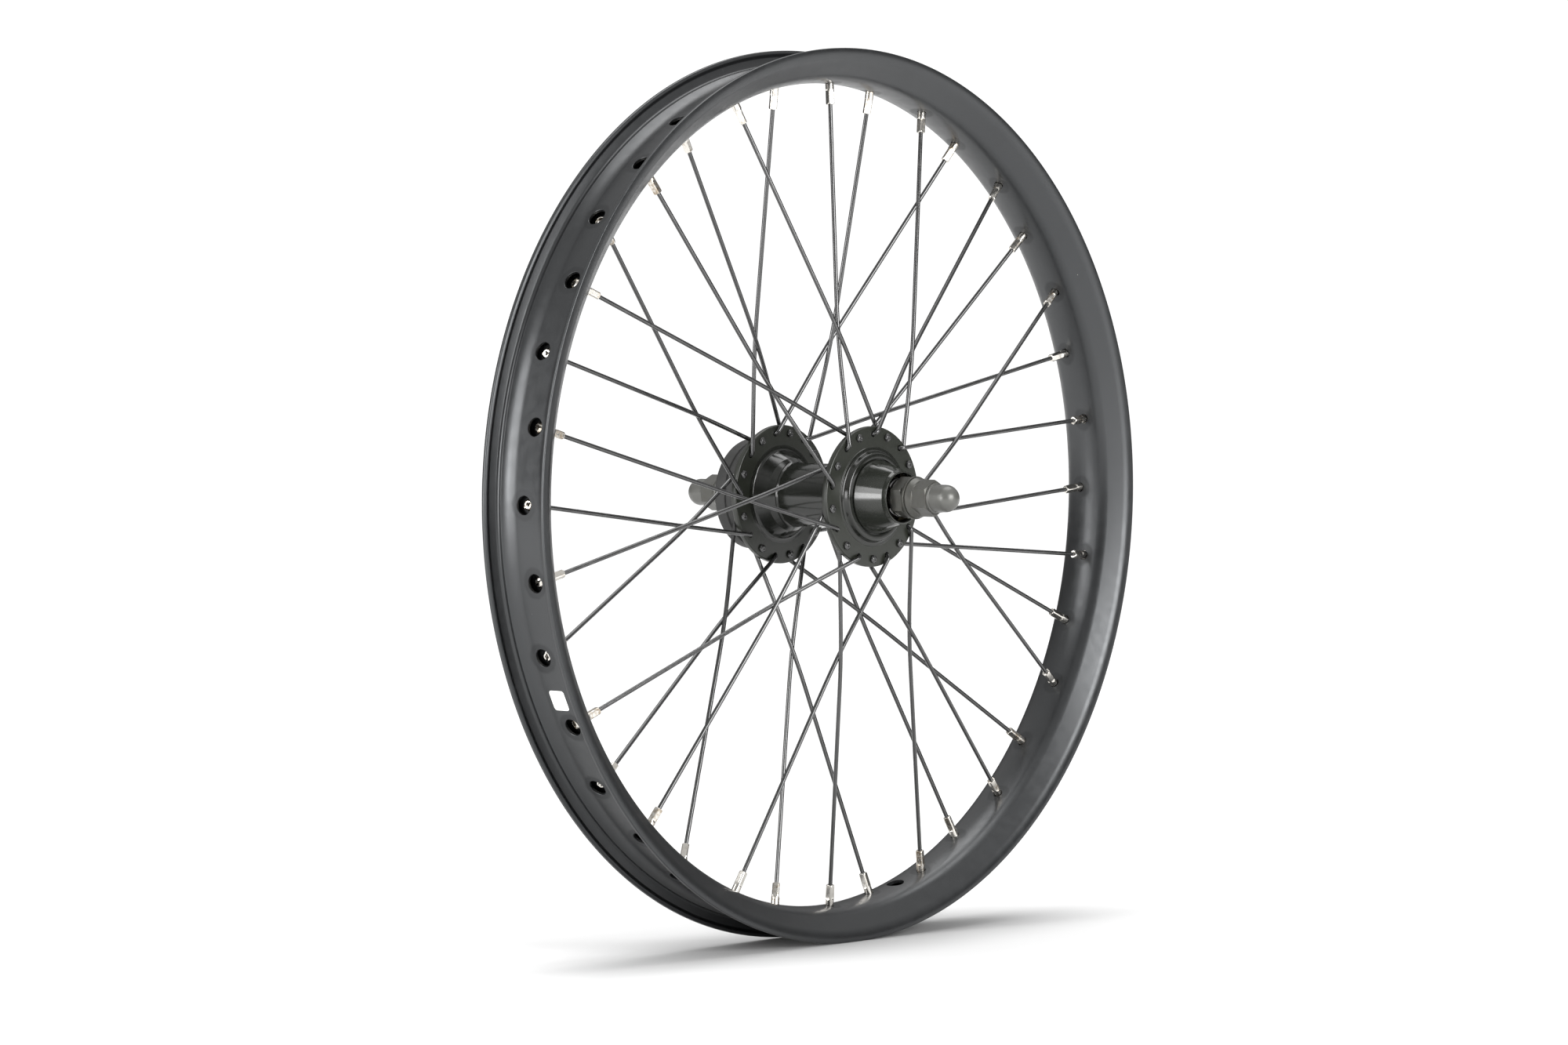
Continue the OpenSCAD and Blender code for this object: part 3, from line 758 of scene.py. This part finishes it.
def spoke_mesh(k):
    """Head, shank through the flange, elbow, and the wire to its nipple."""
    along = Vector((0, exit_y(k), 0))
    corner = elbow_at(k)
    head = Vector((corner.x, flange_y(k) - exit_y(k) * FLANGE_T / 2, corner.z))
    path = bent_path([head, corner, pass_at(k), seat_at(k) + outer_dir(k)], [ELBOW_R, BOW_R], 10)
    # the head is a low dome with the shallow mark of the heading tool in its middle
    dome = rounded([(0, -1.28, 0), (0.35, -1.28, 0.1), (0.5, -1.5, 0.12), (1.15, -1.5, 0.5),
                    (1.9, -0.85, 0.4), (1.9, 0, 0.2), (0.9, 0, 0)])
    return smooth(merge(f"spoke_wire_{k}", swept(path, SPOKE_R),
                        placed(revolve(dome + [(0, 0)], 32), aimed(head, along))), 40)


def nipple_mesh():
    """A nipple along +Y from its seat: slotted head, round collar and square flats."""
    flat_half, shoulder_y, run_out, bore, sides = 1.65, 4.6, 1.5, 1.05, 72
    full = NIPPLE_R + 0.01
    rows = []
    outline = rounded([(bore, -2.9, 0), (1.7, -2.9, 0.3), (2.6, -2.2, 0.6), (2.9, -1.2, 0.4),
                       (2.9, 0, 0.15), (NIPPLE_R, 0, 0)])
    flats = [0.2, 1.5, 3.0, 4.3]
    flats += [shoulder_y - 0.2 + (run_out + 0.2) * i / 10 for i in range(11)]
    flats += [6.8, 8.5, 10.2, NIPPLE_LEN - 0.75]
    outline += [(NIPPLE_R, y) for y in flats]
    outline += arc(NIPPLE_R - 0.6, NIPPLE_LEN - 0.6, 0.6, 0, 80, 6)
    outline += [(bore, NIPPLE_LEN), (bore, -2.9)]
    for r, y in outline[:-1]:
        # the flats run out into the round collar along the curve of the tool
        sunk = min(max((y - shoulder_y) / run_out, 0), 1)
        half = full - (full - flat_half) * math.sqrt(1 - (1 - sunk) ** 2)
        row = []
        for s in range(sides):
            a = 2 * math.pi * s / sides
            limit = half / max(abs(math.cos(a)), abs(math.sin(a))) if y > 0.1 else FAR
            reach = min(r, max(limit, bore + 0.01)) if r > bore + 0.01 else r
            row.append((reach * math.cos(a), y, -reach * math.sin(a)))
        rows.append(row)
    points = [p for row in rows for p in row]
    faces = []
    for i in range(len(rows)):
        j = (i + 1) % len(rows)
        for s in range(sides):
            t = (s + 1) % sides
            faces.append((i * sides + s, i * sides + t, j * sides + t, j * sides + s))
    body = mesh_from("nipple", points, faces)
    slot = mesh_from("slot", [(x, y, z) for x in (-0.5, 0.5) for y in (-4, -1.9) for z in (-4, 4)],
                     [(0, 1, 3, 2), (4, 6, 7, 5), (0, 4, 5, 1), (2, 3, 7, 6), (0, 2, 6, 4), (1, 5, 7, 3)])
    return smooth(combine("DIFFERENCE", body, slot), 32)


def build_lacing():
    wires = [spoke_mesh(k) for k in range(4)]
    nipple = nipple_mesh()
    dice = random.Random(11)
    for k in range(SPOKES):
        turn = Matrix.Rotation(-radians(PITCH_A * (k - k % 4)), 4, "Y")
        node = f"spoke_{k + 1:02d}"
        add_piece(f"{node}_wire", wires[k % 4], "wheel", node, "spoke", turn)
        seat = aimed(seat_at(k), -outer_dir(k)) @ Matrix.Rotation(dice.uniform(0, math.pi / 2), 4, "Y")
        add_piece(f"nipple_{k + 1:02d}", nipple, "wheel", "nipples", "nipple", seat)


# ---------- hub ----------
def hub_outline():
    left_out, left_in = -FLANGE_LEFT - FLANGE_T / 2, -FLANGE_LEFT + FLANGE_T / 2
    right_in, right_out = FLANGE_RIGHT - FLANGE_T / 2, FLANGE_RIGHT + FLANGE_T / 2
    boss = left_out - 3.1
    return counter_clockwise(rounded([
        (CUP_R, boss + 1, 0), (17.9, boss + 1, 0), (17.9, boss, 0.2), (20.5, boss, 1.3),
        (21.6, left_out - 0.4, 1.1), (STEP_R, left_out - 0.4, 0.35),
        (STEP_R + 0.3, left_out, 0.3),
        (FLANGE_R, left_out, 0.75),
        (FLANGE_R, left_in, 0.75), (21.0, left_in, 2.2), (17.4, left_in + 6.5, 2.0),
        (BARREL_R, left_in + 9.5, 4), (BARREL_R, right_in - 9.5, 4), (17.4, right_in - 6.5, 2.0),
        (21.0, right_in, 2.2), (FLANGE_R, right_in, 0.75), (FLANGE_R, right_out, 0.75),
        (21, right_out, 1.2), (19.6, right_out + 2.6, 0.5), (NECK_R, right_out + 3.4, 0.3),
        (NECK_R, NECK_END - 0.3, 0.2), (CUP_R, NECK_END - 0.3, 0.2),
        (CUP_R, BALL_Y - 4.2, 0), (BORE_HUB, BALL_Y - 4.2, 0), (BORE_HUB, 4.2 - BALL_Y, 0),
        (CUP_R, 4.2 - BALL_Y, 0)], steps=8))


def threaded_rod(crest, root, pitch, start, end, sides, steps, bore=0):
    """A right-hand thread along the axle, with flat crests and roots, that fades out at its ends."""
    rings = []
    count = int((end - start) / pitch * steps)
    for i in range(count + 1):
        y = start + (end - start) * i / count
        fade = min(1, (y - start) / pitch, (end - y) / pitch)
        ring = []
        for s in range(sides):
            turn = (y / pitch + s / sides) % 1
            height = min(1, max(0, 1.25 * (1 - abs(2 * turn - 1)) - 0.12))
            r = root + (crest - root) * height * fade
            a = 2 * math.pi * s / sides
            ring.append((r * math.cos(a), y, r * math.sin(a)))
        # listed backwards, for the faces to look outwards
        rings.append([ring[-s] for s in range(sides)])
    if bore:
        for y in (end, start):
            rings.append([(bore * math.cos(2 * math.pi * s / sides), y,
                           -bore * math.sin(2 * math.pi * s / sides)) for s in range(sides)])
        rings.append(rings[0])
    return grid_tube(rings, caps=not bore)


def build_hub():
    outline = hub_outline()
    holes = [placed(drill(HUB_HOLE_R, -FLANGE_T, FLANGE_T, segments=32),
                    aimed(polar(HOLE_RING, hub_angle(k), flange_y(k)), Vector((0, 1, 0))))
             for k in range(SPOKES)]
    mesh = combine("DIFFERENCE", merge("hub", revolve(outline, 192)), merge("drills", *holes))
    shade_as_turned(mesh, [outline], near=0.06)
    add_piece("hub_body", mesh, "wheel", "hub_shell", "hub")
    crest, root, bore = 17.38, 16.75, 16.0
    thread = merge("hub_thread", threaded_rod(crest, root, HUB_PITCH, FLANGE_RIGHT + 6.4,
                                              NECK_END - 0.1, sides=144, steps=8, bore=bore))
    add_piece("hub_thread", smooth(thread, 35), "wheel", "hub_shell", "hub")


def build_caps():
    base = -FLANGE_LEFT - FLANGE_T / 2 - 2.1
    nose = rounded([
        (CUP_R + 0.02, base, 0), (17.25, base, 0.2), (17.35, base - 1.4, 0.6), (12.75, -45.6, 4.0),
        (12.35, -47.3, 0.6), (12.45, -47.95, 0.25), (11.7, -48, 0.3), (11.3, -47.2, 0.4),
        (11.7, -45.2, 0.6), (13.2, base - 5.2, 0.2), (13.2, base - 4.2, 0), (CUP_R + 0.02, base - 4, 0)],
        steps=7)
    add_piece("nose_cap", smooth(merge("nose_cap", revolve(nose, 144)), 30), "wheel",
              "dust_cap_left", "dust_cap")
    cover = rounded([
        (17.45, 36.9, 0), (17.8, 36.5, 0), (25.1, 36.5, 0.3), (25.6, 37, 0.3), (25.6, 40.6, 0.3),
        (26.3, 41.2, 0.3), (26.3, 47.7, 1.1), (13.2, 47.7, 0.5), (13.2, 46.1, 0), (17.45, 46.1, 0)],
        steps=6)
    add_piece("protector_cup", smooth(merge("protector", revolve(cover, 144)), 30), "protector",
              "thread_protector", "protector")


# ---------- axle ends ----------
def hex_prism(across, start, end, twist=0.0):
    corner = across / math.sqrt(3)
    rings = [[(corner * math.cos(radians(-60 * i + twist)), y, corner * math.sin(radians(-60 * i + twist)))
              for i in range(6)] for y in (start, end)]
    return grid_tube(rings)


def hex_body(name, across, start, end, bevel, twist=0.0, bevel_start=None):
    """A six-sided body whose corners are turned down at both ends."""
    if bevel_start is None:
        bevel_start = bevel
    corner = across / math.sqrt(3)
    limit = [(0, start), (corner - bevel_start, start), (corner + 0.2, start + bevel_start * 0.72),
             (corner + 0.2, end - bevel * 0.72), (corner - bevel, end), (0, end)]
    return combine("INTERSECT", merge(name, hex_prism(across, start, end, twist)),
                   merge("limit", revolve(limit, 144)))


def turn_to_side(mesh, side):
    """A mesh made along +Y, turned about +Z to point along -Y on the left."""
    if side < 0:
        mesh.transform(Matrix.Rotation(math.pi, 4, "Z"))
    return mesh


def build_locknut(name, side):
    mesh = hex_body("locknut", 17, LOCKNUT_Y, LOCKNUT_END - 0.9, 1.0, twist=22, bevel_start=0.15)
    face = rounded([(0, LOCKNUT_Y + 1, 0), (7.9, LOCKNUT_Y + 1, 0), (7.9, LOCKNUT_END, 0.2),
                    (0, LOCKNUT_END, 0)])
    mesh = combine("UNION", mesh, merge("face", revolve(face, 144)))
    bore = rounded([(0, LOCKNUT_Y - 1, 0), (BOLT_R, LOCKNUT_Y - 1, 0), (BOLT_R, LOCKNUT_END - 0.6, 0),
                    (BOLT_R + 1.2, LOCKNUT_END + 0.6, 0), (0, LOCKNUT_END + 0.6, 0)])
    mesh = combine("DIFFERENCE", mesh, merge("bore", revolve(bore, 96)))
    add_piece(f"{name}_hex", smooth(turn_to_side(mesh, side), 30), "axle", name, "locknut")


def wedge(r_from, r_to, half_width, y_from, y_to):
    """A cutter along +X with a V section, widest at y_to."""
    return grid_tube([[(r, y_from, 0), (r, y_to, -half_width), (r, y_to, half_width)]
                      for r in (r_from, r_to)])


def build_washer(name, side, seat, body):
    """A hardened washer with fine radial teeth on its outer face."""
    inner, outer, teeth = AXLE_R + 0.25, 10.0, 48
    nick_length, nick_half, nick_depth = 1.1, 0.484, 0.12
    start = seat - WASHER_T
    disc = rounded([(inner, start, 0.15), (outer, start, 0.25), (outer, seat, 0.3), (inner, seat, 0.15)])
    mesh = merge("washer", revolve(disc, 144))
    cuts = []
    for i in range(teeth):
        nick = wedge(outer - nick_length, outer + 1, nick_half, seat - nick_depth, seat + 0.5)
        cuts.append(placed(nick, Matrix.Rotation(-radians(360 * i / teeth), 4, "Y")))
    mesh = combine("DIFFERENCE", mesh, merge("nicks", *cuts))
    add_piece(f"{name}_disc", smooth(turn_to_side(mesh, side), 30), body, name, "nut_washer")


def build_axle_nut(name, side, seat, body):
    """Round skirt, hexagon, and a domed end."""
    flange_h, hex_h, tip, foot_r = 3.2, 8.1, 24.0, DOME_R + 0.6
    hex_top = seat + flange_h + hex_h
    mesh = hex_body("nut", 15, seat + 1, hex_top, 1.0, twist=30)
    skirt = rounded([(0, seat, 0), (9.4, seat, 0.2), (9.6, seat + 0.9, 0.3), (8.25, seat + flange_h, 0.5),
                     (7, seat + flange_h + 0.5, 0), (0, seat + flange_h + 0.5, 0)], steps=6)
    dome = ([(0, seat + 1), (foot_r, seat + 1)]
            + rounded([(foot_r, seat + 2, 0), (foot_r, hex_top + 0.85, 0.3),
                       (DOME_R, hex_top + 0.95, 0.15), (DOME_R, hex_top + 2, 0)])[1:]
            + arc(0, seat + tip - DOME_R, DOME_R, 0, 90, 14))
    dome[-1] = (0, seat + tip)
    mesh = combine("UNION", mesh, merge("skirt", revolve(skirt, 144)))
    mesh = combine("UNION", mesh, merge("dome", revolve(dome, 144)))
    bore = [(0, seat - 1), (BOLT_R + 1.1, seat - 1), (BOLT_R, seat + 0.6), (BOLT_R, seat + 17),
            (0, seat + 19)]
    mesh = combine("DIFFERENCE", mesh, merge("bore", revolve(bore, 96)))
    add_piece(f"{name}_body", smooth(turn_to_side(mesh, side), 30), body, name, "axle_nut", bevel=0.14)


def build_axle():
    """A rod threaded at both ends, plain between the bearings."""
    crest, root, sides = AXLE_R - 0.02, AXLE_R - 0.5, 56
    plain_to = 26.0
    plain_from = -plain_to
    left = threaded_rod(crest, root, AXLE_PITCH, AXLE_LEFT, plain_from, sides, steps=8)
    right = threaded_rod(crest, root, AXLE_PITCH, plain_to, AXLE_RIGHT, sides, steps=8)
    middle = revolve(rounded([(0, plain_from - 1, 0), (crest, plain_from - 1, 0.4),
                              (crest, plain_to + 1, 0.4), (0, plain_to + 1, 0)]), sides)
    add_piece("axle_rod", smooth(merge("axle", left, right, middle), 35), "axle", "axle", "axle_steel")


# ---------- scene, in metres and degrees ----------
ROOM_DIM = 0.1
CEILING_LIGHT = 0.62
CEILING_FROM, CEILING_TO = 0.1, 0.75    # cosines from straight up, between which it fades in
PAPER_WHITE = 1.1
CAMERA_AZIMUTH = -48.05
CAMERA_ELEVATION = 2.03
CAMERA_DISTANCE = 2.503
CAMERA_AIM = Vector((-0.0136, 0.0145, -0.0128))
CAMERA_LENS = 121.7


def direction_to(azimuth, elevation):
    """Azimuth 0 stands on -Y and turns towards +X, both in degrees."""
    a, e = radians(azimuth), radians(elevation)
    return Vector((math.sin(a) * math.cos(e), -math.cos(a) * math.cos(e), math.sin(e)))


def stand(name, data, out, distance=0.0, centre=Vector((0, 0, 0))):
    """An object at a distance from a centre in a direction, that looks back at it."""
    thing = bpy.data.objects.new(name, data)
    bpy.context.scene.collection.objects.link(thing)
    thing.location = centre + out * distance
    thing.rotation_euler = (-out).to_track_quat("-Z", "Y").to_euler()
    return thing


def make_camera():
    data = bpy.data.cameras.new("camera")
    data.lens = CAMERA_LENS
    data.sensor_width = 36
    data.clip_end = 60
    out = direction_to(CAMERA_AZIMUTH, CAMERA_ELEVATION)
    bpy.context.scene.camera = stand("camera", data, out, CAMERA_DISTANCE, CAMERA_AIM)


def add_light(name, azimuth, elevation, distance, width, height, power):
    """A softbox that faces the wheel."""
    data = bpy.data.lights.new(name, "AREA")
    data.shape = "RECTANGLE"
    data.size, data.size_y = width, height
    data.energy = power
    stand(name, data, direction_to(azimuth, elevation), distance)


def add_panel(name, azimuth, elevation, spread, strength):
    """A far, even light that covers a round patch of the ceiling."""
    data = bpy.data.lights.new(name, "SUN")
    data.angle = radians(spread)
    data.energy = strength
    stand(name, data, direction_to(azimuth, elevation))


def make_world():
    """White paper to the camera; for the light, a bright ceiling over a darker room."""
    world = bpy.data.worlds.new("studio")
    bpy.context.scene.world = world
    world.use_nodes = True
    nodes, links = world.node_tree.nodes, world.node_tree.links
    way = nodes.new("ShaderNodeSeparateXYZ")
    links.new(nodes.new("ShaderNodeTexCoord").outputs["Generated"], way.inputs[0])
    ceiling = nodes.new("ShaderNodeMapRange")
    ceiling.interpolation_type = "SMOOTHSTEP"
    for socket, value in (("From Min", CEILING_FROM), ("From Max", CEILING_TO),
                          ("To Min", ROOM_DIM), ("To Max", ROOM_DIM + CEILING_LIGHT)):
        ceiling.inputs[socket].default_value = value
    links.new(way.outputs["Z"], ceiling.inputs["Value"])
    soft = nodes["Background"]
    soft.inputs["Color"].default_value = (1, 1, 1, 1)
    links.new(ceiling.outputs[0], soft.inputs["Strength"])
    paper = nodes.new("ShaderNodeBackground")
    paper.inputs["Color"].default_value = (1, 1, 1, 1)
    paper.inputs["Strength"].default_value = PAPER_WHITE
    mix = nodes.new("ShaderNodeMixShader")
    links.new(nodes.new("ShaderNodeLightPath").outputs["Is Camera Ray"], mix.inputs[0])
    links.new(soft.outputs[0], mix.inputs[1])
    links.new(paper.outputs[0], mix.inputs[2])
    links.new(mix.outputs[0], nodes["World Output"].inputs["Surface"])
    bpy.context.scene.view_settings.view_transform = "Standard"


def make_floor():
    size = 6.0
    mesh = bpy.data.meshes.new("floor")
    mesh.from_pydata([(-size, -size, FLOOR_Z), (size, -size, FLOOR_Z), (size, size, FLOOR_Z),
                      (-size, size, FLOOR_Z)], [], [(0, 1, 2, 3)])
    floor = bpy.data.objects.new("floor", mesh)
    bpy.context.scene.collection.objects.link(floor)
    mesh.materials.append(floor_surface())


build_rim()
build_lacing()
build_hub()
build_caps()
build_axle()
for name, side in (("locknut_left", -1), ("locknut_right", 1)):
    build_locknut(name, side)
build_washer("nut_washer_left", -1, NUT_SEAT_LEFT, "washer_left")
build_washer("nut_washer_right", 1, NUT_SEAT_RIGHT, "washer_right")
build_axle_nut("axle_nut_left", -1, NUT_SEAT_LEFT, "nut_left")
build_axle_nut("axle_nut_right", 1, NUT_SEAT_RIGHT, "nut_right")

# every node gets its material, also those that stay as they came from CAD
slots = {part["node"]: part["material_slot"] for part in frame["record"]["subparts"]}
for name, node in frame["nodes"].items():
    node.data.materials.clear()
    node.data.materials.append(MATERIALS[slots[name]])

make_camera()
make_world()
make_floor()
add_light("key", azimuth=-105, elevation=8, distance=2.2, width=1.4, height=1.9, power=57)
add_light("strip", azimuth=-88, elevation=5, distance=2.3, width=0.7, height=0.6, power=10)
add_light("front", azimuth=-4, elevation=15, distance=2.3, width=1.4, height=1.2, power=58)
add_panel("ceiling", azimuth=110, elevation=76, spread=48, strength=1.75)
